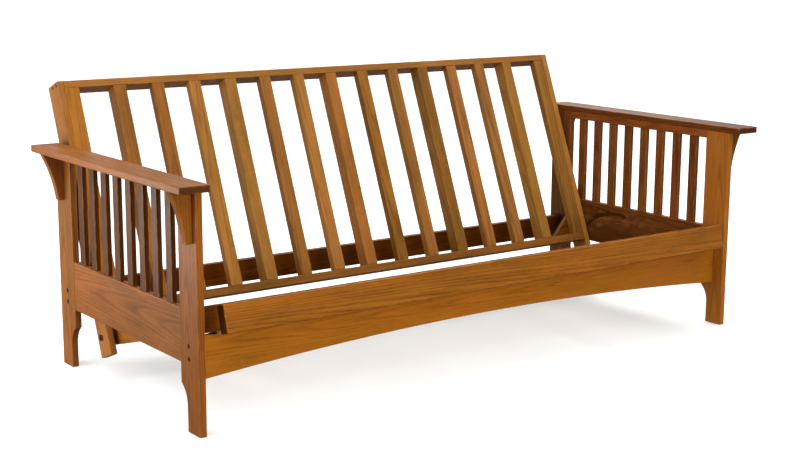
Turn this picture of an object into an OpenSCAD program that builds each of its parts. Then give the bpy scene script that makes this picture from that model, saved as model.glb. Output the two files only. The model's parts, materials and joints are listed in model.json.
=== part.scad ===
// Bi-fold futon frame in the mission style, for a full-size mattress.
// Two slatted arms stand on their own legs, and two stretchers tie them together.
// The seat deck and the back deck are hinged to each other below their slats.
// To make the bed, the seat slides forward over the front stretcher and tips level,
// while the back deck folds down behind it onto the back stretcher.
// X runs along the sofa, Y from front to back, Z up. All lengths are in millimetres.

/* [Arms] */
// Clear width between the two arms
arm_gap = 1934; // [1900:2:1960]
// Depth of an arm, measured over its two posts
arm_depth = 846; // [840:1:852]
// Height of the posts, up to the underside of the armrest
post_h = 642; // [620:1:660]
// Width of a post, seen from the side of the sofa
post_w = 96.5; // [90:0.5:100]
// Thickness of the posts and the stretchers
board_t = 20; // [19:0.5:22]
// Width of a leg at the floor
foot_w = 65; // [45:0.5:70]
// Height at which a leg starts to widen
flare_low = 70; // [50:1:90]
// Height at which a leg reaches the width of its post
flare_high = 127; // [120:1:135]
// Height of the lower side rail's bottom edge
side_rail_z = 181; // [175:1:185]
// Height of the lower side rail's face
side_rail_h = 145; // [140:1:150]
// Height of the upper side rail's face
top_rail_h = 25; // [18:1:40]
// Number of upright slats in each arm
arm_slats = 8; // [4:1:10]
// Width of an arm slat
arm_slat_w = 32.4; // [24:0.2:40]
// Thickness of an arm slat
arm_slat_t = 14; // [10:1:18]

/* [Armrests] */
// Thickness of an armrest
armrest_t = 20; // [16:1:26]
// Overhang of an armrest past the outer face of the posts
armrest_out = 66; // [64:1:80]
// Overhang past the inner face of the posts
armrest_in = 1; // [0:0.5:4]
// Overhang past the front post
armrest_front = 42; // [42:1:60]
// Overhang past the rear post
armrest_back = 21; // [10:1:40]
// Reach of a corbel under the armrest
corbel_reach = 62; // [56:1:63]
// Height of a corbel
corbel_h = 138; // [120:1:150]
// Width of a corbel's blunt lower end
corbel_nose = 18; // [8:1:20]
// Thickness of a corbel
corbel_t = 22; // [18:1:26]
// Hollow of a corbel's curved edge
corbel_sag = 6.5; // [4:0.5:14]

/* [Stretchers] */
// Height of the front stretcher's top edge
front_top_z = 255; // [254:0.5:256]
// Height of the front stretcher's face at its two ends
front_end_h = 117; // [110:1:120]
// Rise of the arch cut in its bottom edge
arch_rise = 42; // [20:1:55]
// Distance from the front posts' front faces to the front stretcher
front_y = 42; // [41:0.5:43]
// Height of the back stretcher's top edge
back_top_z = 253; // [252:0.5:254]
// Height of the back stretcher's face
back_h = 73; // [65:1:80]
// Distance from the rear posts' rear faces to the back stretcher
back_inset = 39; // [36:1:42]

/* [Decks] */
// Half of the back deck's width, over its side boards
back_half = 957; // [955:1:959]
// Half of the seat deck's width
seat_half = 924; // [922:1:930]
// Depth of the decks' side boards, square to the slats
deck_d = 70; // [66:1:72]
// Depth of the hinge bolts below the top faces of the decks
bolt_depth = 43; // [41:0.5:44]
// Length of the back deck, from its bottom rail to its top edge
back_len = 699; // [690:1:710]
// Distance from the hinge bolts to the bottom rail's lower edge
hinge_drop = 62.5; // [58.5:0.5:64]
// Length of the side boards' tails beyond the hinge bolts
tail_len = 57.5; // [40:0.5:60]
// Distance from the hinge bolts to the front of the seat deck
seat_len = 695; // [690:1:697]
// Length of the seat deck behind the hinge bolts
seat_tail = 38; // [34:1:38]
// Height of the seat's front board
front_board_h = 76.5; // [74:0.5:78]
// Drop of its top edge below the top faces of the slats
front_board_drop = 3; // [0:0.5:4]
// Thickness of the seat's front board
front_board_t = 36; // [28:1:38]
// Number of slats in each deck
deck_slats = 13; // [13:1:13]
// Width of a deck slat
slat_w = 40; // [34:1:46]
// Spacing of the deck slats, centre to centre
slat_pitch = 126.7; // [120:0.1:128]
// Thickness of a plain deck slat
slat_t = 26; // [20:1:30]
// Depth of every third slat, which stiffens the deck
rib_d = 47; // [40:1:48]
// Width of the stiles beside the back deck's side boards
stile_w = 45; // [38:1:50]
// Height of the back deck's bottom rail and of the seat's rear rail
rail_h = 25; // [22:1:31]
// Depth of those two rails
rail_d = 48; // [48:1:50]
// Height of the back deck's top rail
head_h = 22; // [18:1:28]

/* [Motion] */
// Lean of the back deck from upright, in degrees
lean = 22; // [20:0.5:24]
// Tilt of the seat deck in the sofa position, in degrees
tilt = 16; // [15.5:0.25:16.5]
// Travel of the seat along its own rails, sofa to bed
travel = 288.4; // [280:0.1:290]

/* [Hidden] */
$fn = 64;
oak = [0.56, 0.33, 0.14];
oak_dark = [0.47, 0.25, 0.11];
bronze = [0.14, 0.11, 0.09];
zinc = [0.62, 0.62, 0.6];
nylon = [0.16, 0.16, 0.16];

inner_x = arm_gap / 2;
outer_x = inner_x + board_t;
rail_t = board_t - 1;                       // side rails sit 1 mm back from the outer face
slat_x = inner_x + (rail_t - arm_slat_t) / 2;
side_rail_top = side_rail_z + side_rail_h;
top_rail_z = post_h - top_rail_h;
rail_len = arm_depth - 2 * post_w;
arm_slat_gap = (rail_len - arm_slats * arm_slat_w) / (arm_slats + 1);
back_y = arm_depth - back_inset - board_t;
corbel_front_y = 29;
corbel_rear_y = arm_depth - 43;

// Connector bolts: each stretcher end has two, one above the other
bolt_z = [232, 198];
bolt_r = 3;
bolt_len = 60;
bolt_head_r = 6.5;
bolt_head_t = 3;
bolt_sink = 4;
nut_r = 5;
nut_len = 14;
nut_inset = 32;
nut_bed = board_t - 3;

// Seat rollers lie in saddles in the front stretcher, rests in the back stretcher
roller_r = 8;
roller_y = front_y + board_t / 2;
roller_z = front_top_z - 5;
roller_len = 30;
roller_x = seat_half - 11;
rest_z = back_top_z - 3;
rest_y = back_y + board_t / 2;
rest_x = back_half - board_t / 2;
saddle_gap = 0.3;
roll_gap = 0.2;

// The hinge bolts, in the sofa position and on the way to the bed
under_d = deck_d - bolt_depth;
axis_off = roller_r + roll_gap + under_d;
reach_sofa = 600.4;
function seat_angle(t) = tilt * (1 - t);
function hinge_at(t) = let (a = seat_angle(t), r = reach_sofa - travel * t)
    [roller_y + r * cos(a) + axis_off * sin(a), roller_z - r * sin(a) + axis_off * cos(a)];
hinge = hinge_at(0);
board_in = back_half - board_t;

// Guide pins stand out of the side boards and run in a groove in each lower side rail
pin_r = 7;
pin_bed = 12;
pin_end = inner_x + 8;
pin_y = hinge_drop + rail_h + 8;
pin_z = 7;
groove_r = pin_r + 0.6;
groove_d = 10.5;
groove_steps = 24;
cap_steps = 12;
function pin_at(t) = let (a = (90 - lean) * (1 - t), h = hinge_at(t))
    [h[0] + pin_y * cos(a) - pin_z * sin(a), h[1] + pin_y * sin(a) + pin_z * cos(a)];
function unit(v) = v / norm(v);
function pin_way(t) = unit(pin_at(t + 0.001) - pin_at(t - 0.001));
function groove_edge(t, side) = pin_at(t) + side * groove_r * [-pin_way(t)[1], pin_way(t)[0]];
// Points round one end of the groove, turning clockwise from one edge to the other
function groove_cap(t, side) = let (way = pin_way(t), start = atan2(way[1], way[0]) + 90 * side)
    [for (i = [1:cap_steps - 1]) let (a = start - 180 * i / cap_steps)
        pin_at(t) + groove_r * [cos(a), sin(a)]];

// Hinge bolt, its nut and the spacer between the decks
pivot_r = 4;
pivot_play = 0.05;
pivot_head_r = 9;
pivot_head_t = 4;
pivot_nut_r = 7.5;
pivot_nut_t = 6;
side_play = 0.4;

// Screws through the side boards into the ends of the back deck's two rails
screw_r = 2.5;
screw_head_r = 5;
screw_head_t = 3;
screw_len = 55;
screw_y = [hinge_drop + rail_h / 2, hinge_drop + back_len - head_h / 2];
screw_z = [bolt_depth - 12, bolt_depth - 38];

slat_len = back_len - rail_h - head_h;
seat_slat_len = seat_len - front_board_t + seat_tail - rail_h;
block_x = 123;
block_y = 99;
block_t = 20;
deck_y_max = hinge[0] + (hinge_drop + back_len) * sin(lean) + under_d * cos(lean);
shift_y = (deck_y_max - armrest_front) / 2;

SIDES = ["left", "right"];

// Placing -------------------------------------------------------------------

// Everything is drawn with Y = 0 at the front posts' front faces and then centred
module place() translate([0, -shift_y, 0]) children();

module on_side(side) mirror([side == "left" ? 1 : 0, 0, 0]) children();

module both_sides() for (s = SIDES) on_side(s) children();

// Deck coordinates: the hinge bolts at the origin, Y along the deck, Z square to the slats
module on_seat() translate([0, hinge[0], hinge[1]]) rotate([-tilt, 0, 0]) children();

module on_back() translate([0, hinge[0], hinge[1]]) rotate([90 - lean, 0, 0]) children();

// A box between two corners
module block(low, high) translate(low) cube(high - low);

// An outline drawn in Y and Z, extruded along X from x to x + t
module side_profile(x, t) translate([x, 0, 0]) rotate([90, 0, 90]) linear_extrude(t) children();

// A rod along X
module rod_x(r, x, len, y, z) translate([x, y, z]) rotate([0, 90, 0]) cylinder(r = r, h = len);

// Arms ----------------------------------------------------------------------

module post_outline() {
    widen = post_w - foot_w;
    climb = flare_high - flare_low;
    flare_r = (widen * widen + climb * climb) / (2 * widen);
    difference() {
        square([post_w, post_h]);
        translate([foot_w, -1]) square([post_w, flare_low + 1]);
        intersection() {
            translate([foot_w + flare_r, flare_low]) circle(flare_r, $fn = 128);
            translate([foot_w, flare_low]) square([post_w, climb]);
        }
    }
}

module post(y_bolt) {
    difference() {
        side_profile(inner_x, board_t) post_outline();
        for (z = bolt_z) {
            rod_x(bolt_r + 0.3, inner_x - 1, board_t + 2, y_bolt, z);
            rod_x(bolt_head_r + 0.6, outer_x - bolt_sink, bolt_sink + 1, y_bolt, z);
        }
    }
}

module front_post(side) color(oak) place() on_side(side) post(front_y + board_t / 2);

module rear_post(side) color(oak) place() on_side(side)
    translate([0, arm_depth, 0]) mirror([0, 1, 0]) post(back_inset + board_t / 2);

module armrest(side) color(oak) place() on_side(side)
    block([inner_x - armrest_in, -armrest_front, post_h],
          [outer_x + armrest_out, arm_depth + armrest_back, post_h + armrest_t]);

module top_rail(side) color(oak) place() on_side(side)
    block([inner_x, post_w, top_rail_z], [inner_x + rail_t, arm_depth - post_w, post_h]);

module groove() side_profile(inner_x - 1, groove_d + 1) polygon(concat(
    [for (i = [0:groove_steps]) groove_edge(i / groove_steps, 1)], groove_cap(1, 1),
    [for (i = [groove_steps:-1:0]) groove_edge(i / groove_steps, -1)], groove_cap(0, -1)));

module side_rail(side) color(oak) place() on_side(side) difference() {
    block([inner_x, post_w, side_rail_z],
          [inner_x + rail_t, arm_depth - post_w, side_rail_top]);
    groove();
}

module arm_slat_row(side) color(oak) place() on_side(side)
    for (i = [0:arm_slats - 1]) {
        y = post_w + arm_slat_gap + i * (arm_slat_w + arm_slat_gap);
        block([slat_x, y, side_rail_top], [slat_x + arm_slat_t, y + arm_slat_w, top_rail_z]);
    }

// Corbel outline in X and Z: flat against the post and the armrest, hollow outside
module corbel_outline() {
    chord = norm([corbel_reach - corbel_nose, corbel_h]);
    r = (chord * chord / 4 + corbel_sag * corbel_sag) / (2 * corbel_sag);
    side_dir = unit([corbel_h, corbel_nose - corbel_reach]);
    middle = [(corbel_reach + corbel_nose) / 2, -corbel_h / 2];
    difference() {
        polygon([[0, 0], [corbel_reach, 0], [corbel_nose, -corbel_h], [0, -corbel_h]]);
        translate(middle + (r - corbel_sag) * side_dir) circle(r, $fn = 256);
    }
}

module corbel(side, y) color(oak) place() on_side(side)
    translate([outer_x, y + corbel_t / 2, post_h]) rotate([90, 0, 0])
        linear_extrude(corbel_t) corbel_outline();

// Stretchers and their fittings ----------------------------------------------

module nut_holes(y_open, dir)
    for (z = bolt_z)
        translate([inner_x - nut_inset, y_open, z]) rotate([90 * dir, 0, 0]) translate([0, 0, -1])
            cylinder(r = nut_r, h = nut_bed + 1);

module bolt_holes(y)
    for (z = bolt_z)
        rod_x(bolt_r + 0.3, outer_x - bolt_sink - bolt_len, bolt_len, y, z);

module front_stretcher() {
    arch_r = (inner_x * inner_x + arch_rise * arch_rise) / (2 * arch_rise);
    low = front_top_z - front_end_h;
    color(oak) place() difference() {
        translate([0, front_y + board_t, 0]) rotate([90, 0, 0]) linear_extrude(board_t) difference() {
            translate([-inner_x, low]) square([arm_gap, front_end_h]);
            translate([0, low + arch_rise - arch_r]) circle(arch_r, $fn = 2880);
        }
        both_sides() {
            bolt_holes(roller_y);
            nut_holes(front_y + board_t, 1);
            rod_x(roller_r + saddle_gap, roller_x - roller_len / 2 - saddle_gap,
                  roller_len + 2 * saddle_gap, roller_y, roller_z);
        }
    }
}

module back_stretcher() color(oak) place() difference() {
    block([-inner_x, back_y, back_top_z - back_h], [inner_x, back_y + board_t, back_top_z]);
    both_sides() {
        bolt_holes(rest_y);
        nut_holes(back_y + board_t, 1);
        rod_x(roller_r, rest_x - board_t / 2, board_t, rest_y, rest_z);
    }
}

module connector_bolts() color(bronze) place() both_sides()
    for (y = [roller_y, rest_y], z = bolt_z) difference() {
        union() {
            rod_x(bolt_head_r, outer_x - bolt_sink, bolt_head_t, y, z);
            rod_x(bolt_r, outer_x - bolt_sink - bolt_len, bolt_len, y, z);
        }
        translate([outer_x - bolt_sink + 0.6, y, z]) rotate([0, 90, 0])
            cylinder(r = bolt_r, h = bolt_head_t, $fn = 6);
    }

module barrel_nuts() color(zinc) place() both_sides()
    for (y = [front_y + board_t, back_y + board_t], z = bolt_z) difference() {
        translate([inner_x - nut_inset, y - nut_bed + nut_len, z]) rotate([90, 0, 0])
            cylinder(r = nut_r, h = nut_len);
        rod_x(bolt_r, inner_x - nut_inset - 10, 20, y - board_t / 2, z);
    }

module back_rests() color(nylon) place() both_sides()
    rod_x(roller_r, rest_x - board_t / 2, board_t, rest_y, rest_z);

module seat_rollers() color(nylon) place() both_sides()
    rod_x(roller_r, roller_x - roller_len / 2, roller_len, roller_y, roller_z);

// Back deck -------------------------------------------------------------------

module back_board(side) color(oak) place() on_side(side) on_back() difference() {
    block([board_in, -tail_len, -under_d], [back_half, hinge_drop + back_len, bolt_depth]);
    rod_x(pivot_r + pivot_play, board_in - 1, board_t + 2, 0, 0);
    rod_x(pin_r, back_half - pin_bed, pin_bed + 1, pin_y, pin_z);
    screw_holes();
}

module screw_holes()
    for (y = screw_y, z = screw_z) {
        rod_x(screw_r, back_half - screw_len, screw_len + 1, y, z);
        rod_x(screw_head_r, back_half - screw_head_t, screw_head_t + 1, y, z);
    }

module stile(side) color(oak) place() on_side(side) on_back()
    block([board_in - stile_w, hinge_drop + rail_h, bolt_depth - slat_t],
          [board_in, hinge_drop + rail_h + slat_len, bolt_depth]);

// Triangular block behind the stile, in the corner of the bottom rail and the side board
module corner_block(side) color(oak) place() on_side(side) on_back()
    translate([board_in, hinge_drop + rail_h, bolt_depth - slat_t - block_t])
        linear_extrude(block_t) polygon([[0, 0], [-block_x, 0], [0, block_y]]);

module back_top_rail() color(oak) place() on_back() difference() {
    block([-board_in, hinge_drop + back_len - head_h, -under_d],
          [board_in, hinge_drop + back_len, bolt_depth]);
    both_sides() screw_holes();
}

module back_bottom_rail() color(oak) place() on_back() difference() {
    block([-board_in, hinge_drop, bolt_depth - rail_d],
          [board_in, hinge_drop + rail_h, bolt_depth]);
    both_sides() screw_holes();
}

module rail_screws() color(bronze) place() both_sides() on_back()
    for (y = screw_y, z = screw_z) {
        rod_x(screw_r, back_half - screw_len, screw_len - 1, y, z);
        rod_x(screw_head_r, back_half - screw_head_t, screw_head_t - 0.5, y, z);
    }

module guide_pins() color(oak_dark) place() both_sides() on_back()
    rod_x(pin_r, back_half - pin_bed, pin_end - back_half + pin_bed, pin_y, pin_z);

// Slat number i of a deck, from y along it; every third one is a deeper rib
module deck_slat(i, y, len) {
    x = (i - (deck_slats + 1) / 2) * slat_pitch;
    depth = (i - 1) % 3 == 0 ? rib_d : slat_t;
    block([x - slat_w / 2, y, bolt_depth - depth], [x + slat_w / 2, y + len, bolt_depth]);
}

module back_slat(i) color(oak) place() on_back() deck_slat(i, hinge_drop + rail_h, slat_len);

// Seat deck -------------------------------------------------------------------

module seat_front_board() color(oak) place() on_seat()
    block([-seat_half, -seat_len, bolt_depth - front_board_drop - front_board_h],
          [seat_half, front_board_t - seat_len, bolt_depth - front_board_drop]);

module seat_rear_rail() color(oak) place() on_seat()
    block([board_t - seat_half, seat_tail - rail_h, bolt_depth - rail_d],
          [seat_half - board_t, seat_tail, bolt_depth]);

module seat_rail(side) color(oak) place() on_side(side) on_seat() difference() {
    block([seat_half - board_t, front_board_t - seat_len, -under_d],
          [seat_half, seat_tail, bolt_depth]);
    rod_x(pivot_r, seat_half - board_t - 1, board_t + 2, 0, 0);
}

module seat_slats() color(oak) place() on_seat()
    for (i = [1:deck_slats]) deck_slat(i, front_board_t - seat_len, seat_slat_len);

module pivot_bolts() color(bronze) place() both_sides() on_seat() {
    tip = seat_half - board_t - pivot_nut_t - 2;
    rod_x(pivot_r, tip, back_half + side_play - tip, 0, 0);
    rod_x(pivot_head_r, back_half + side_play, pivot_head_t, 0, 0);
}

module pivot_nuts() color(zinc) place() both_sides() on_seat() difference() {
    translate([seat_half - board_t - pivot_nut_t, 0, 0]) rotate([0, 90, 0])
        cylinder(r = pivot_nut_r, h = pivot_nut_t, $fn = 6);
    rod_x(pivot_r, seat_half - board_t - pivot_nut_t - 1, pivot_nut_t + 2, 0, 0);
}

module pivot_spacers() color(nylon) place() both_sides() on_seat() difference() {
    rod_x(pivot_head_r, seat_half, board_in - seat_half - side_play, 0, 0);
    rod_x(pivot_r, seat_half - 1, board_in - seat_half + 2, 0, 0);
}

// The assembly ------------------------------------------------------------------

for (s = SIDES) {
    front_post(s);
    rear_post(s);
    armrest(s);
    top_rail(s);
    side_rail(s);
    arm_slat_row(s);
    corbel(s, corbel_front_y);
    corbel(s, corbel_rear_y);
    back_board(s);
    stile(s);
    corner_block(s);
    seat_rail(s);
}
front_stretcher();
back_stretcher();
connector_bolts();
barrel_nuts();
back_rests();
seat_rollers();
back_top_rail();
back_bottom_rail();
rail_screws();
guide_pins();
for (i = [1:deck_slats]) back_slat(i);
seat_front_board();
seat_rear_rail();
seat_slats();
pivot_bolts();
pivot_nuts();
pivot_spacers();
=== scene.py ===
"""Looks of the bi-fold futon frame: sawn and eased oak boards, dark bolts, nylon darkened as painted
shade, a pale studio.
"""
import json
import math
import random

import bmesh
import bpy
from mathutils import Matrix, Quaternion, Vector

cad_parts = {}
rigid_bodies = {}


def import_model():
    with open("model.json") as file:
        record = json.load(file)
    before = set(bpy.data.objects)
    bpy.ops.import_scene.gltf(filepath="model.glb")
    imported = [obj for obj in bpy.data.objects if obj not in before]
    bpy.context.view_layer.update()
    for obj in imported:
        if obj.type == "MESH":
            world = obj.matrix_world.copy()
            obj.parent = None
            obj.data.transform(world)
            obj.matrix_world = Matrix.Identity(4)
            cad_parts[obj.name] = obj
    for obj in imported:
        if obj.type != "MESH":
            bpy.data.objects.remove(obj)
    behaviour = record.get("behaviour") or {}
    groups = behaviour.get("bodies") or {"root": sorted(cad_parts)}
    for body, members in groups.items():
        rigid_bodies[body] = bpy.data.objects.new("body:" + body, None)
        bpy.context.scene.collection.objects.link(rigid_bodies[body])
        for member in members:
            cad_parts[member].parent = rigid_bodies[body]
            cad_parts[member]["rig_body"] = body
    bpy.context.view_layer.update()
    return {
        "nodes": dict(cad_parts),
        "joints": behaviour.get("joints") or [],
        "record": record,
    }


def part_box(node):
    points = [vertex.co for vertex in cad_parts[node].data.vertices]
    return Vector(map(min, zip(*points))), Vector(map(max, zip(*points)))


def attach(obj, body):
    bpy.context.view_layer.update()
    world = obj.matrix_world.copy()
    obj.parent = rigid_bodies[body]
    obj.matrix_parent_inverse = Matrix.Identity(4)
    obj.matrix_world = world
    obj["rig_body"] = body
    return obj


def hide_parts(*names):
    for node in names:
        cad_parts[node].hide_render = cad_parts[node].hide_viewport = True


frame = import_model()

# Sizes in metres, for what a node's box doesn't tell --------------------------------------------

X, Y, Z = 0, 1, 2
SHARP = math.radians(35)  # an edge that turns more than this is eased
END_ON = 0.95  # a face whose normal runs this nearly along its board can be one of the board's ends
SEGMENTS = 48  # sides of a turned part

EASE = 0.0018  # radius of a board's eased edges
ARMREST_EASE = 0.003
EDGE_BAND = 0.0015  # width of the band along an edge where the stain has rubbed
METAL_EASE = (0.0005, 0.0004)  # a bolt's or a barrel nut's rounding, and the worn band beside it
NUT_EASE = (0.0006, 0.0005)
SPACER_EASE = (0.0006, 0.0006)
NYLON_EASE = (0.001, 0.001)
DOWEL_EASE = (0.0012, 0.001)

FOOT_W = 0.065  # width of a leg below its flare
FLARE_LOW, FLARE_HIGH = 0.070, 0.127  # heights between which a leg widens into its post
CORBEL_NOSE = 0.018  # width of a corbel's lower end
CORBEL_SAG = 0.0065  # how far a corbel's outer edge is hollowed
ARCH_RISE = 0.042  # of the front stretcher's lower edge

SINK_DEPTH = 0.004  # depth of the recesses for the connector bolts' heads
SCREW_SINK = 0.003  # and for the rail screws' heads
SOCKET_DEPTH = 0.7  # of a bolt head's height
SLOT_DEPTH, SLOT_WIDTH = 0.0015, 0.0012  # the screwdriver slot of a barrel nut
NUT_DEPTH = 0.03  # a barrel nut reaches less far than this into its stretcher from the rear face
HOLE_PLAY = 0.0006  # room round a part in its hole
OVERCUT = 0.001  # how far a cutting tool stands out of what it cuts

RING_WIDTH = 0.0042  # the tree's yearly rings
BACK_DESATURATION = 1.3  # how much less saturated and yellower the back deck's boards are drawn
DESATURATION_HUE_TURN = 1.3  # how far the hue turns towards yellow for each measure of that loss of saturation
# Boards drawn darker (over 0) or lighter (under 0) than their neighbours'. This is partly uneven stain and
# partly painted shade: darkening the back stretcher under the back deck and the right-hand boards stands
# in for the shade they lie in.
STAIN_AND_PAINTED_SHADE = {"left_arm_slats": 4.0, "left_side_rail": 0.8, "left_rear_post": 0.8, "left_corner_block": 2.0,
         "right_arm_slats": 1.8, "right_side_rail": 2.4, "right_rear_post": 2.2, "right_armrest": 2.8,
         "right_corner_block": 2.5, "right_front_post": -1.2, "front_stretcher": -1.4,
         "seat_front_board": 1.0, "back_bottom_rail": 1.0, "back_stretcher": 3.0}


# Places ----------------------------------------------------------------------------------------

def named(rows, name):
    return next(row for row in rows if row["name"] == name)


def deck_frame(deck):
    """Deck coordinates: hinge bolts at the origin, Y along the deck, Z square to its slats."""
    normal = Vector(named(frame["record"]["mounts"], deck)["axis"]).normalized()
    along = normal.cross(Vector((1, 0, 0)))
    place = Matrix(((1, 0, 0), along, normal)).transposed().to_4x4()
    place.translation = Vector(named(frame["joints"], "back_fold")["pos_m"])
    return place


LEVEL = Matrix.Identity(4)
SEAT = deck_frame("seat_deck")
BACK = deck_frame("back_deck")


def cad_solid(node, place=LEVEL):
    """A CAD node's own mesh, welded, in the coordinates of place."""
    solid = bmesh.new()
    solid.from_mesh(frame["nodes"][node].data)
    bmesh.ops.remove_doubles(solid, verts=solid.verts, dist=1e-6)
    solid.transform(place.inverted())
    return solid


def solids(node, place=LEVEL):
    """The lowest and highest corner of each separate solid of a CAD node, in the coordinates of place."""
    whole, found = cad_solid(node, place), []
    left = set(whole.verts)
    while left:
        reached, points = [left.pop()], []
        while reached:
            vertex = reached.pop()
            points.append(vertex.co.copy())
            for edge in vertex.link_edges:
                other = edge.other_vert(vertex)
                if other in left:
                    left.remove(other)
                    reached.append(other)
        found.append((Vector(map(min, *points)), Vector(map(max, *points))))
    whole.free()
    return sorted(found, key=lambda corners: tuple(round(c, 5) for c in corners[0]))


# Outlines and solids ---------------------------------------------------------------------------

def arc(centre, radius, start, end, steps):
    """Points along a circle from one angle to another, in radians."""
    angles = [start + (end - start) * i / steps for i in range(steps + 1)]
    return [(centre[0] + radius * math.cos(a), centre[1] + radius * math.sin(a)) for a in angles]


def bow(start, end, rise, steps):
    """Points along a shallow arc from start to end.

    Its middle lies to the left of the straight way by rise, or to the right where rise is negative.
    """
    half = math.dist(start, end) / 2
    radius = (half ** 2 + rise ** 2) / (2 * rise)
    spread = math.asin(half / radius)
    left = math.atan2(end[1] - start[1], end[0] - start[0]) + math.pi / 2
    centre = ((start[0] + end[0]) / 2 - (radius - rise) * math.cos(left),
              (start[1] + end[1]) / 2 - (radius - rise) * math.sin(left))
    return arc(centre, radius, left + spread, left - spread, steps)


def prism(outline, axis, low, high):
    """An outline drawn square to an axis, taken from low to high along it."""
    solid = bmesh.new()
    ends = [[solid.verts.new((*p[:axis], depth, *p[axis:])) for p in outline] for depth in (low, high)]
    for end in ends:
        solid.faces.new(end)
    for i in range(len(outline)):
        solid.faces.new((ends[0][i - 1], ends[0][i], ends[1][i], ends[1][i - 1]))
    bmesh.ops.recalc_face_normals(solid, faces=solid.faces)
    return solid


def block(low, high):
    """A box between two corners."""
    outline = [(low[X], low[Y]), (high[X], low[Y]), (high[X], high[Y]), (low[X], high[Y])]
    return prism(outline, Z, low[Z], high[Z])


def rod(axis, centre, radius, ends, sides=SEGMENTS):
    """A cylinder along an axis, its centre given across that axis and its two ends along it."""
    outline = arc(centre, radius, 0, 2 * math.pi * (1 - 1 / sides), sides - 1)
    return prism(outline, axis, *sorted(ends))


def eased(solid, radius, band=EDGE_BAND):
    """Rounds the sharp edges of a solid, and marks them and a band beside them as worn."""
    wear = solid.verts.layers.float.new("wear")
    bmesh.ops.recalc_face_normals(solid, faces=solid.faces)
    sharp = [e for e in solid.edges if e.calc_face_angle() > SHARP]
    made = bmesh.ops.bevel(solid, geom=sharp, offset=radius, offset_type="OFFSET", segments=3,
                           profile=0.5, affect="EDGES", clamp_overlap=True)
    rounded = set(made["faces"])
    flats = [f for f in solid.faces if f not in rounded]
    bmesh.ops.inset_region(solid, faces=flats, thickness=band, use_even_offset=True, use_boundary=True)
    for vertex in solid.verts:
        vertex[wear] = 1.0
    for face in flats:
        for vertex in face.verts:
            vertex[wear] = 0.0
    return solid


def joined(parts):
    """One solid from several, which are used up."""
    whole = bmesh.new()
    for part in parts:
        mesh = bpy.data.meshes.new("part")
        part.to_mesh(mesh)
        whole.from_mesh(mesh)
        bpy.data.meshes.remove(mesh)
        part.free()
    return whole


def as_object(solid):
    mesh = bpy.data.meshes.new("solid")
    solid.to_mesh(mesh)
    made = bpy.data.objects.new("solid", mesh)
    bpy.context.scene.collection.objects.link(made)
    return made


def carved(solid, tools, operation="DIFFERENCE"):
    """A solid less its tools, or with INTERSECT what it shares with them."""
    body, tool = as_object(solid), as_object(joined(tools))
    cut = body.modifiers.new("cut", "BOOLEAN")
    cut.operation, cut.solver, cut.object = operation, "EXACT", tool
    depsgraph = bpy.context.evaluated_depsgraph_get()
    mesh = bpy.data.meshes.new_from_object(body.evaluated_get(depsgraph), preserve_all_data_layers=True,
                                           depsgraph=depsgraph)
    result = bmesh.new()
    result.from_mesh(mesh)
    for made in (body, tool):
        bpy.data.objects.remove(made)
    bpy.data.meshes.remove(mesh)
    return result


def sawn(board, run, seed, desaturation=0.0):
    """Stores where each point lay in its tree, so that rings and fibres run through the board."""
    chance = random.Random(seed)
    grain = board.verts.layers.float_vector.new("grain")
    tone_and_shade = board.verts.layers.float_vector.new("tone_and_shade")
    cut_end = board.verts.layers.float.new("cut_end")
    low = [min(v.co[i] for v in board.verts) for i in range(3)]
    high = [max(v.co[i] for v in board.verts) for i in range(3)]
    thin, wide = sorted({X, Y, Z} - {run}, key=lambda i: high[i] - low[i])
    start = chance.uniform(0, 60)  # metres along the noise, so that boards show different stretches of it
    heart = chance.uniform(0.03, 0.10) * chance.choice((-1, 1))  # from the tree's heart to the board
    aside = chance.uniform(-0.6, 0.6) * (high[wide] - low[wide])  # from the heart, across the board
    lean = chance.uniform(0.008, 0.03) * chance.choice((-1, 1))  # the rings' slope along the board
    # a listed board's darkness, which for some boards is painted shade, else a random stain depth
    depth = STAIN_AND_PAINTED_SHADE.get(seed.split()[0], chance.uniform(-1, 1))
    hue = chance.uniform(-1, 1) + DESATURATION_HUE_TURN * desaturation
    saturation = chance.uniform(-0.5, 0.5) - desaturation
    for vertex in board.verts:
        along = vertex.co[run] - low[run]
        across = vertex.co[wide] - (low[wide] + high[wide]) / 2
        through = vertex.co[thin] - (low[thin] + high[thin]) / 2
        vertex[grain] = (start + along, across + aside, through + heart + lean * along)
        vertex[tone_and_shade] = (depth, hue, saturation)
    for face in board.faces:
        middle = face.calc_center_median()[run]
        if abs(face.normal[run]) > END_ON and min(middle - low[run], high[run] - middle) < EASE:
            for vertex in face.verts:
                vertex[cut_end] = 1.0
    return board


def plank(corners, ease=EASE):
    """A straight board with eased edges, not yet sawn."""
    return eased(block(*corners), ease)


def piece(parts, slot, node, place=LEVEL):
    """Joins parts into the object that stands for a CAD node, on its body and with a slot's finish."""
    name = f"{node}_{slot}"
    whole = joined(parts)
    whole.transform(place)
    mesh = bpy.data.meshes.new(name)
    whole.to_mesh(mesh)
    whole.free()
    mesh.polygons.foreach_set("use_smooth", [True] * len(mesh.polygons))
    mesh.set_sharp_from_angle(angle=SHARP)
    mesh.materials.append(FINISHES[slot])
    made = bpy.data.objects.new(name, mesh)
    bpy.context.scene.collection.objects.link(made)
    flatten = made.modifiers.new("flat faces", "WEIGHTED_NORMAL")
    flatten.keep_sharp = True
    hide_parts(node)
    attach(made, frame["nodes"][node]["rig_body"])


# Materials -------------------------------------------------------------------------------------

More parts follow.
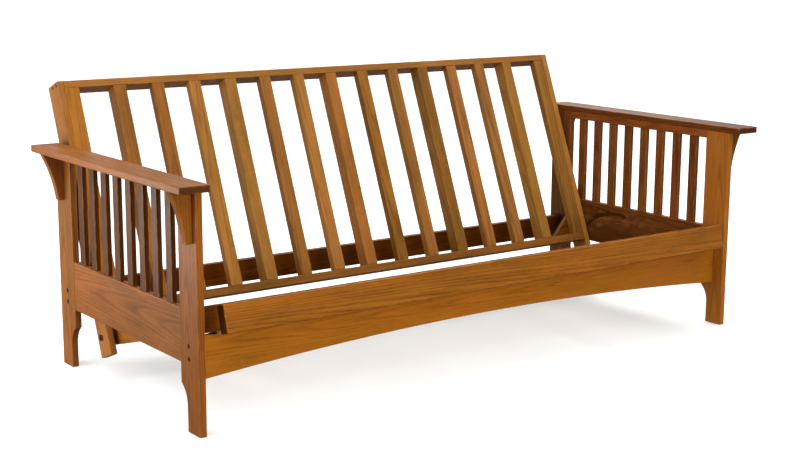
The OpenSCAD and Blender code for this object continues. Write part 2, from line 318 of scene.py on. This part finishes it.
class Finish:
    """A material and its node tree, with one short call for each kind of node."""

    def __init__(self, name, **sockets):
        self.material = bpy.data.materials.new(name)
        self.material.use_nodes = True
        self.tree = self.material.node_tree
        self.surface = self.tree.nodes["Principled BSDF"]
        for socket, value in sockets.items():
            self.feed(self.surface.inputs[socket.replace("_", " ")], value)

    def feed(self, socket, value):
        if isinstance(value, bpy.types.NodeSocket):
            self.tree.links.new(value, socket)
        elif value is not None:
            socket.default_value = value

    def add(self, kind, *inputs, **settings):
        made = self.tree.nodes.new("ShaderNode" + kind)
        for setting, value in settings.items():
            setattr(made, setting, value)
        for socket, value in zip(made.inputs, inputs):
            self.feed(socket, value)
        return made

    def read(self, attribute):
        return self.add("Attribute", attribute_name=attribute)

    def place(self):
        return self.add("TexCoord").outputs["Object"]

    def maths(self, operation, a, b=0.0):
        return self.add("Math", a, b, operation=operation).outputs[0]

    def scaled(self, value, factor, shift=0.0):
        return self.add("Math", value, factor, shift, operation="MULTIPLY_ADD").outputs[0]

    def total(self, *terms):
        """The sum of values, each given with its factor and, where it needs one, a shift."""
        values = [self.scaled(*term) for term in terms]
        total = values[0]
        for value in values[1:]:
            total = self.maths("ADD", total, value)
        return total

    def vector(self, operation, a, b=None):
        return self.add("VectorMath", a, b, operation=operation).outputs

    def noise(self, at, stretch, detail=2.0, roughness=0.5):
        """Noise with so many waves in a metre along each axis."""
        return self.add("TexNoise", self.vector("MULTIPLY", at, stretch)[0], None, 1.0, detail, roughness)

    def step(self, value, low, high):
        return self.add("MapRange", value, low, high, interpolation_type="SMOOTHSTEP").outputs[0]

    def ramp(self, value, *stops):
        made = self.add("ValToRGB", value)
        points = made.color_ramp.elements
        while len(points) < len(stops):
            points.new(1.0)
        for point, (position, level) in zip(points, stops):
            point.position, point.color = position, (level, level, level, 1)
        return made.outputs[0]

    def mix(self, factor, a, b):
        """A mix of two colours, which are this node's sockets 6 and 7 and its output 2."""
        made = self.tree.nodes.new("ShaderNodeMix")
        made.data_type = "RGBA"
        for index, value in ((0, factor), (6, a), (7, b)):
            self.feed(made.inputs[index], value)
        return made.outputs[2]

    def drive(self, colour=None, roughness=None, height=None, depth=0.0):
        """Feeds the surface: colour, roughness, and a bump of that depth in metres."""
        self.feed(self.surface.inputs["Base Color"], colour)
        self.feed(self.surface.inputs["Roughness"], roughness)
        if height is not None:
            bump = self.add("Bump", 1.0, depth)
            self.feed(bump.inputs["Height"], height)
            self.feed(self.surface.inputs["Normal"], bump.outputs[0])
        return self.material


def rings_of(finish, grain):
    """0 in a ring's smooth late wood to 1 in its porous early wood, from the distance to the heart."""
    wander = finish.noise(grain, (1.1, 10, 10), 2.0).outputs["Color"]
    offset = finish.vector("MULTIPLY_ADD", wander, (0.0, 0.014, 0.014))[0]
    place = finish.vector("ADD", grain, offset)[0]
    from_heart = finish.vector("LENGTH", finish.vector("MULTIPLY", place, (0, 1, 1))[0])["Value"]
    uneven = finish.add("TexNoise", None, from_heart, 60.0, 1.0, noise_dimensions="1D").outputs[0]
    years = finish.maths("ADD", finish.maths("DIVIDE", from_heart, RING_WIDTH), finish.scaled(uneven, 2.0))
    within = finish.maths("FRACT", years)
    return finish.ramp(within, (0, 0.9), (0.14, 1), (0.42, 0.3), (0.85, 0), (1, 0.6))


def oak(name, pale, deep, worn):
    """Stained oak under satin lacquer: rings, fibre streaks, open pores, rubbed edges, darker cut ends,
    and painted shade on some boards.
    """
    finish = Finish(name, Coat_Weight=0.04, Coat_Roughness=0.3, Specular_IOR_Level=0.18,
                    Specular_Tint=(1.0, 0.66, 0.3, 1))
    grain = finish.read("grain").outputs["Vector"]
    rings = rings_of(finish, grain)
    streaks = finish.noise(grain, (2.6, 210, 210), 4.0, 0.6).outputs[0]
    cloud = finish.noise(grain, (2.2, 7, 7), 3.0).outputs[0]
    mottle = finish.noise(grain, (6, 34, 34), 2.0).outputs[0]
    fibres = finish.noise(grain, (30, 1100, 1100), 1.0).outputs[0]
    pores = finish.maths("MULTIPLY", finish.step(fibres, 0.53, 0.66), finish.scaled(rings, 0.7, 0.3))
    flecks = finish.step(finish.noise(grain, (34, 300, 60), 1.0).outputs[0], 0.6, 0.72)

    # How deep the stain looks at each point, and each board's own turn of its colour, which for some
    # listed boards carries painted shade
    tone_and_shade = finish.add("SeparateXYZ", finish.read("tone_and_shade").outputs["Vector"]).outputs
    depth = finish.total((rings, 0.24, 0.12), (streaks, 0.5, -0.25), (cloud, 0.75, -0.37),
                         (mottle, 0.5, -0.2), (pores, 0.3), (flecks, -0.1), (tone_and_shade[0], 0.14))
    colour = finish.mix(finish.step(depth, -0.3, 1.1), (*pale, 1), (*deep, 1))
    hue = finish.total((tone_and_shade[1], 0.006, 0.5), (cloud, 0.02, -0.01))
    saturation = finish.scaled(tone_and_shade[2], 0.05, 1.0)
    value = finish.scaled(tone_and_shade[0], -0.09, 1.0)
    colour = finish.add("HueSaturation", hue, saturation, value, 1.0, colour).outputs[0]

    # Cut ends soak up more stain, and edges are rubbed back to pale wood in patches
    cut_end = finish.read("cut_end").outputs["Fac"]
    colour = finish.mix(finish.scaled(cut_end, 0.95), colour, (*(0.6 * c for c in deep), 1))
    wear = finish.read("wear").outputs["Fac"]
    patchy = finish.step(finish.noise(grain, (25, 60, 60), 3.0).outputs[0], 0.45, 0.7)
    rubbed = finish.maths("MULTIPLY", finish.maths("MULTIPLY", wear, wear),
                          finish.scaled(patchy, 0.3, 0.03))
    colour = finish.mix(rubbed, colour, (*worn, 1))

    rough = finish.total((pores, 0.16, 0.36), (cloud, 0.16, -0.06), (cut_end, 0.12))
    height = finish.total((pores, -0.8, 1.0), (rings, -0.3), (streaks, 0.35))
    return finish.drive(colour, rough, height, depth=0.00012)


def bronze():
    """Bolt heads with a dark oil-rubbed skin, worn to bare metal on their rims."""
    finish = Finish("oil rubbed bronze", Metallic=1.0)
    grime = finish.noise(finish.place(), (300, 300, 300), 4.0).outputs[0]
    rim = finish.maths("MULTIPLY", finish.read("wear").outputs["Fac"], finish.step(grime, 0.35, 0.6))
    colour = finish.mix(grime, (0.020, 0.014, 0.010, 1), (0.06, 0.042, 0.03, 1))
    colour = finish.mix(finish.scaled(rim, 0.5), colour, (0.30, 0.19, 0.11, 1))
    return finish.drive(colour, finish.scaled(grime, 0.35, 0.28), grime, depth=0.00005)


def zinc():
    """Plated nuts with faint spangle and a dull haze."""
    finish = Finish("plated zinc", Metallic=1.0)
    haze = finish.noise(finish.place(), (220, 220, 220), 3.0).outputs[0]
    colour = finish.mix(haze, (0.42, 0.42, 0.40, 1), (0.66, 0.65, 0.62, 1))
    return finish.drive(colour, finish.scaled(haze, 0.3, 0.25), haze, depth=0.00003)


def nylon():
    """Nylon drawn near black as painted shade, so that it sits dark in the shaded recesses where it shows,
    with faint turning marks and a dusty bloom.
    """
    finish = Finish("nylon darkened as painted shade")
    marks = finish.noise(finish.place(), (900, 60, 60), 2.0).outputs[0]
    bloom = finish.noise(finish.place(), (70, 70, 70), 3.0).outputs[0]
    # near-black colours: painted shade for these nylon parts
    colour = finish.mix(bloom, (0.012, 0.012, 0.013, 1), (0.030, 0.029, 0.028, 1))
    return finish.drive(colour, finish.scaled(marks, 0.25, 0.35), marks, depth=0.00004)


FINISHES = {
    "arm_oak": oak("red brown oak", (0.36, 0.118, 0.018), (0.085, 0.023, 0.004), (0.48, 0.19, 0.04)),
    "oak": oak("golden oak", (0.38, 0.120, 0.003), (0.085, 0.021, 0.001), (0.50, 0.21, 0.02)),
    "hardwood": oak("plain hardwood", (0.52, 0.34, 0.17), (0.34, 0.19, 0.08), (0.62, 0.45, 0.26)),
    "bronze": bronze(),
    "zinc": zinc(),
    "nylon": nylon(),
}


# Arms ------------------------------------------------------------------------------------------

def head_sinks(low, high, outward):
    """Recesses in a post's outer face, one round each connector bolt's head in that post."""
    face = high.x if outward > 0 else low.x
    sinks = []
    for bolt_low, bolt_high in solids("connector_bolts"):
        centre = (bolt_low + bolt_high) / 2
        if centre.x * outward > 0 and low.y < centre.y < high.y:
            radius = (bolt_high.z - bolt_low.z) / 2 + HOLE_PLAY
            sinks.append(rod(X, (centre.y, centre.z), radius, (face - SINK_DEPTH, face + SINK_DEPTH)))
    return sinks


def post(side, end):
    """A post with its leg, which is narrower: an arc widens it on the side towards the arm's middle."""
    node = f"{side}_{end}_post"
    low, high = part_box(node)
    outside, inward = (low.y, 1) if end == "front" else (high.y, -1)
    widen, climb = (high.y - low.y) - FOOT_W, FLARE_HIGH - FLARE_LOW
    radius = (widen ** 2 + climb ** 2) / (2 * widen)
    turn = math.asin(climb / radius)
    flare = arc((FOOT_W + radius, FLARE_LOW), radius, math.pi, math.pi - turn, steps=12)
    outline = [(0, 0), (FOOT_W, 0), *flare, (high.y - low.y, high.z), (0, high.z)]
    outline = [(outside + inward * y, z) for y, z in outline]
    board = eased(prism(outline, X, low.x, high.x), EASE)
    board = carved(board, head_sinks(low, high, 1 if side == "right" else -1))
    piece([sawn(board, Z, node)], "arm_oak", node)


def corbel(side, end):
    """A bracket under the armrest, straight against the post and hollowed outside."""
    node = f"{side}_{end}_corbel"
    low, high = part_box(node)
    reach, drop = high.x - low.x, high.z - low.z
    hollow = bow((reach, 0), (CORBEL_NOSE, -drop), -CORBEL_SAG, steps=16)
    outline = [(0, 0), *hollow, (0, -drop)]
    wall, outward = (low.x, 1) if side == "right" else (high.x, -1)
    outline = [(wall + outward * x, high.z + z) for x, z in outline]
    board = eased(prism(outline, Y, low.y, high.y), EASE)
    piece([sawn(board, Z, node)], "arm_oak", node)


def armrest(side):
    node = f"{side}_armrest"
    piece([sawn(plank(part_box(node), ARMREST_EASE), Y, node)], "arm_oak", node)


def top_rail(side):
    node = f"{side}_top_rail"
    piece([sawn(plank(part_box(node)), Y, node)], "arm_oak", node)


def side_rail(side):
    """The tall lower rail, with the guide groove of its CAD solid in its inner face."""
    node = f"{side}_side_rail"
    board = carved(plank(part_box(node)), [cad_solid(node)], "INTERSECT")
    piece([sawn(board, Y, node)], "arm_oak", node)


def slats(node, run, slot, place=LEVEL):
    """A row of boards that are one CAD node, each with its own grain."""
    boards = [sawn(plank(corners), run, f"{node} {i}") for i, corners in enumerate(solids(node, place))]
    piece(boards, slot, node, place)


for side in ("left", "right"):
    for end in ("front", "rear"):
        post(side, end)
        corbel(side, end)
    armrest(side)
    top_rail(side)
    side_rail(side)
    slats(f"{side}_arm_slats", Z, "arm_oak")


# Stretchers ------------------------------------------------------------------------------------

def nut_bores(rear_face):
    """Round holes from a stretcher's rear face for its barrel nuts."""
    bores = []
    for low, high in solids("barrel_nuts"):
        if 0 < rear_face - low.y < NUT_DEPTH:
            centre = (low + high) / 2
            radius = (high.x - low.x) / 2 + HOLE_PLAY / 4
            ends = (low.y - HOLE_PLAY, rear_face + OVERCUT)
            bores.append(rod(Y, (centre.x, centre.z), radius, ends))
    return bores


def saddles(node):
    """Beds in a stretcher's top edge for the nylon rods that lie in it."""
    beds = []
    for low, high in solids(node):
        centre = (low + high) / 2
        radius = (high.y - low.y) / 2 + HOLE_PLAY / 2
        beds.append(rod(X, (centre.y, centre.z), radius, (low.x - HOLE_PLAY, high.x + HOLE_PLAY)))
    return beds


def front_stretcher():
    """A board whose bottom edge is one long shallow arch."""
    node = "front_stretcher"
    low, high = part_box(node)
    arch = bow((low.x, low.z), (high.x, low.z), ARCH_RISE, steps=48)
    outline = [*arch, (high.x, high.z), (low.x, high.z)]
    board = eased(prism(outline, Y, low.y, high.y), EASE)
    board = carved(board, nut_bores(high.y) + saddles("seat_rollers"))
    piece([sawn(board, X, node)], "oak", node)


def back_stretcher():
    node = "back_stretcher"
    low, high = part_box(node)
    board = carved(plank((low, high)), nut_bores(high.y) + saddles("back_rests"))
    piece([sawn(board, X, node)], "oak", node)


front_stretcher()
back_stretcher()


# Decks -----------------------------------------------------------------------------------------

def straight(node, run, place, ease=EASE, bores=()):
    """One straight board of a deck, with any bores. The back deck's boards are drawn less saturated and
    yellower.
    """
    board = plank(solids(node, place)[0], ease)
    if bores:
        board = carved(board, bores)
    piece([sawn(board, run, node, BACK_DESATURATION if place is BACK else 0.0)], "oak", node, place)


def screw_sinks(board):
    """Recesses round the rail screws' heads in a side board's outer face."""
    low, high = solids(board, BACK)[0]
    outward, face = (1, high.x) if high.x > 0 else (-1, low.x)
    sinks = []
    for screw_low, screw_high in solids("rail_screws", BACK):
        centre = (screw_low + screw_high) / 2
        if centre.x * outward > 0:
            radius = (screw_high.y - screw_low.y) / 2 + HOLE_PLAY / 4
            sinks.append(rod(X, (centre.y, centre.z), radius, (face - SCREW_SINK, face + SCREW_SINK)))
    return sinks


def corner_block(side):
    """A triangular glue block behind the stile, its long edge bridging the corner."""
    node = f"{side}_corner_block"
    low, high = solids(node, BACK)[0]
    corner, tip = (high.x, low.x) if side == "right" else (low.x, high.x)
    outline = [(corner, low.y), (tip, low.y), (corner, high.y)]
    board = eased(prism(outline, Z, low.z, high.z), EASE)
    piece([sawn(board, X, node)], "oak", node, BACK)


for side in ("left", "right"):
    straight(f"{side}_back_board", Y, BACK, bores=screw_sinks(f"{side}_back_board"))
    straight(f"{side}_stile", Y, BACK)
    corner_block(side)
    straight(f"{side}_seat_rail", Y, SEAT)
straight("back_top_rail", X, BACK)
straight("back_bottom_rail", X, BACK)
for node in frame["nodes"]:
    if node.startswith("back_slat_"):
        straight(node, Y, BACK)
straight("seat_front_board", X, SEAT, ARMREST_EASE)
straight("seat_rear_rail", X, SEAT)
slats("seat_slats", Y, "oak", SEAT)


# Hardware --------------------------------------------------------------------------------------

def along_x(low, high):
    """A turned part's centre across X, its radius, and its ends along X, the inner one first."""
    centre = (low + high) / 2
    ends = (low.x, high.x) if centre.x > 0 else (high.x, low.x)
    return (centre.y, centre.z), (high.z - low.z) / 2, ends


def bolt(corners, shank_radius, head_height, socket_radius):
    """A bolt with a flat head and a hexagon socket, its head facing away from the sofa's middle."""
    centre, radius, (inner, outer) = along_x(*corners)
    outward = 1 if outer > inner else -1
    neck = outer - outward * head_height
    socket_ends = (outer - outward * head_height * SOCKET_DEPTH, outer + outward * OVERCUT)
    head = eased(rod(X, centre, radius, (neck, outer)), *METAL_EASE)
    socket = rod(X, centre, socket_radius, socket_ends, sides=6)
    shank = eased(rod(X, centre, shank_radius, (inner, neck)), *METAL_EASE)
    return [carved(head, [socket]), shank]


def bolts(node, shank_radius, head_height, socket_radius, place=LEVEL):
    parts = []
    for corners in solids(node, place):
        parts += bolt(corners, shank_radius, head_height, socket_radius)
    piece(parts, "bronze", node, place)


def barrel_nuts():
    """Cross dowels with a screwdriver slot in the end that shows."""
    parts = []
    for low, high in solids("barrel_nuts"):
        centre = (low + high) / 2
        nut = eased(rod(Y, (centre.x, centre.z), (high.x - low.x) / 2, (low.y, high.y)), *METAL_EASE)
        slot_low = (low.x - OVERCUT, high.y - SLOT_DEPTH, centre.z - SLOT_WIDTH / 2)
        slot_high = (high.x + OVERCUT, high.y + OVERCUT, centre.z + SLOT_WIDTH / 2)
        parts.append(carved(nut, [block(slot_low, slot_high)]))
    piece(parts, "zinc", "barrel_nuts")


def turned(node, place, ease, sides=SEGMENTS):
    """The rods of a node, all along X, their edges eased and worn."""
    rods = []
    for corners in solids(node, place):
        centre, radius, ends = along_x(*corners)
        rods.append(eased(rod(X, centre, radius, ends, sides), *ease))
    return rods


bolts("connector_bolts", shank_radius=0.003, head_height=0.003, socket_radius=0.003)
bolts("rail_screws", shank_radius=0.0025, head_height=0.0025, socket_radius=0.0022, place=BACK)
bolts("pivot_bolts", shank_radius=0.004, head_height=0.004, socket_radius=0.0045, place=SEAT)
barrel_nuts()
piece(turned("pivot_nuts", SEAT, NUT_EASE, sides=6), "zinc", "pivot_nuts", SEAT)
piece(turned("pivot_spacers", SEAT, SPACER_EASE), "nylon", "pivot_spacers", SEAT)
for node in ("seat_rollers", "back_rests"):
    piece(turned(node, LEVEL, NYLON_EASE), "nylon", node)
pins = enumerate(turned("guide_pins", BACK, DOWEL_EASE))
piece([sawn(pin, X, f"guide_pins {i}") for i, pin in pins], "hardwood", "guide_pins", BACK)


# Studio ----------------------------------------------------------------------------------------

def camera():
    """The camera at the photograph's angle."""
    yaw, pitch, roll = math.radians(36.407), math.radians(11.398), math.radians(0.3127)
    data = bpy.data.cameras.new("camera")
    data.lens, data.sensor_width = 66.08, 36
    made = bpy.data.objects.new("camera", data)
    ahead = Vector((math.sin(yaw) * math.cos(pitch), math.cos(yaw) * math.cos(pitch), -math.sin(pitch)))
    made.rotation_mode = "QUATERNION"
    made.rotation_quaternion = ahead.to_track_quat("-Z", "Y") @ Quaternion((0, 0, 1), roll)
    made.location = (-2.7004, -3.6313, 1.2541)
    bpy.context.scene.collection.objects.link(made)
    bpy.context.scene.camera = made


def lamp(name, kind, strength, place, target, **settings):
    data = bpy.data.lights.new(name, kind)
    data.energy = strength
    for setting, value in settings.items():
        setattr(data, setting, value)
    made = bpy.data.objects.new(name, data)
    made.location = place
    made.rotation_mode = "QUATERNION"
    made.rotation_quaternion = (Vector(target) - Vector(place)).to_track_quat("-Z", "Y")
    bpy.context.scene.collection.objects.link(made)


def room():
    """The light of a room: dim below, pale along the horizon, dimmer again towards the ceiling."""
    world = bpy.data.worlds.new("room")
    world.use_nodes = True
    tree = world.node_tree
    direction = tree.nodes.new("ShaderNodeTexCoord")
    height = tree.nodes.new("ShaderNodeSeparateXYZ")
    rise = tree.nodes.new("ShaderNodeMapRange")  # 0 straight down, 0.5 at the horizon, 1 straight up
    shade = tree.nodes.new("ShaderNodeValToRGB")
    rise.inputs["From Min"].default_value = -1.0
    tree.links.new(direction.outputs["Generated"], height.inputs[0])
    tree.links.new(height.outputs["Z"], rise.inputs["Value"])
    tree.links.new(rise.outputs[0], shade.inputs[0])
    tree.links.new(shade.outputs[0], tree.nodes["Background"].inputs["Color"])
    levels = ((0.44, 0.18), (0.47, 0.95), (0.56, 0.62), (0.8, 0.35))  # each a rise and its lightness
    points = shade.color_ramp.elements
    while len(points) < len(levels):
        points.new(1.0)
    for point, (place, level) in zip(points, levels):
        point.position, point.color = place, (level, level, level * 0.98, 1)
    bpy.context.scene.world = world


def studio():
    """A wide pale floor, a soft sky, a warm key light in front, fills by the left arm and high behind."""
    floor = as_object(block((-40, -40, -0.02), (40, 60, 0)))
    floor.name = "floor"
    finish = Finish("floor", Roughness=0.8)
    shade = finish.noise(finish.place(), (0.6, 0.6, 0.6), 3.0).outputs[0]
    finish.drive(finish.mix(shade, (0.95, 0.95, 0.95, 1), (0.98, 0.98, 0.98, 1)))
    floor.data.materials.append(finish.material)
    floor.visible_diffuse = floor.visible_glossy = False  # the wood takes its light from the room instead
    room()
    lamp("sky", "SUN", 3.4, (0, -0.5, 3), (0, 0, 0), color=(0.97, 0.99, 1.0), angle=math.radians(100))
    lamp("key", "AREA", 54, (-0.8, -3.2, 0.9), (0, 0, 0.35), color=(1.0, 0.86, 0.68),
         shape="RECTANGLE", size=1.4, size_y=0.9)
    lamp("side fill", "AREA", 23, (-2.1, 0.45, 0.35), (-1, 0, 0.35), color=(1.0, 0.95, 0.97),
         shape="RECTANGLE", size=1.8, size_y=0.6)
    lamp("back fill", "AREA", 60, (2.6, 2.6, 2.8), (0.2, 0, 0.4), shape="RECTANGLE", size=1.8, size_y=1.0)
    bpy.context.scene.view_settings.view_transform = "Standard"


camera()
studio()
